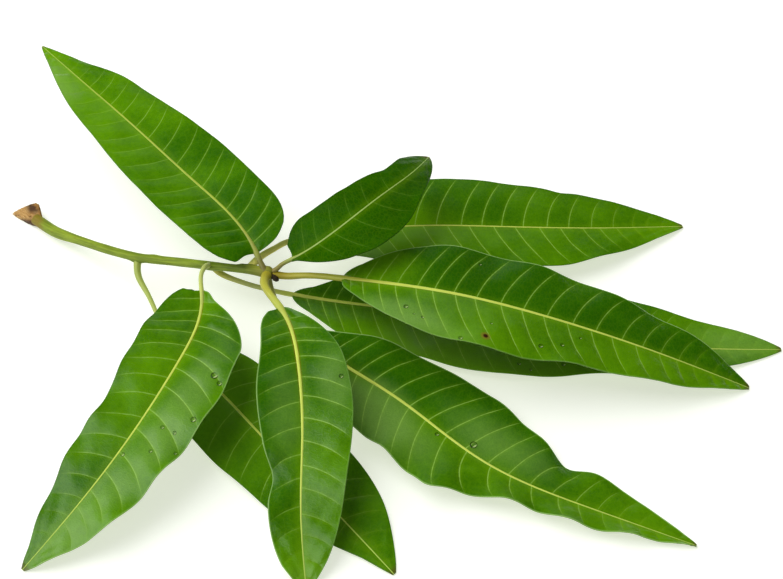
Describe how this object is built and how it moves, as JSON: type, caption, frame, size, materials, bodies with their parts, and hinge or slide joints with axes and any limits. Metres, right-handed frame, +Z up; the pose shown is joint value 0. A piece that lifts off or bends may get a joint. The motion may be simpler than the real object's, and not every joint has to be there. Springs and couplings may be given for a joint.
{
  "type": "mango leaf sprig",
  "caption": "Cut mango sprig lying flat: a green twig with a torn woody heel, an end bud, and long glossy leaves on slim stalks, spread around its end.",
  "frame": {"origin": "middle of the sprig's footprint, on the surface it lies on", "axes": "+X from the twig's torn heel to the tip of the longest leaf, +Y towards the raised back leaf, +Z up"},
  "size_m": [0.3408, 0.2757, 0.0522],
  "materials": {
    "bark": "smooth green young bark, torn tan wood at the heel",
    "bud": "dull dark brown bud scales",
    "leaf": "leathery, glossy green leaf with a pale midrib and side veins"
  },
  "bodies": {
    "root": {"twig": "bark", "terminal_bud": "bud", "leaf_back_left": "leaf", "leaf_small_back": "leaf", "leaf_back_right": "leaf", "leaf_right_upper": "leaf", "leaf_right_long": "leaf", "leaf_front_right": "leaf", "leaf_front": "leaf", "leaf_front_left": "leaf", "leaf_low_front": "leaf"}
  },
  "joints": []
}
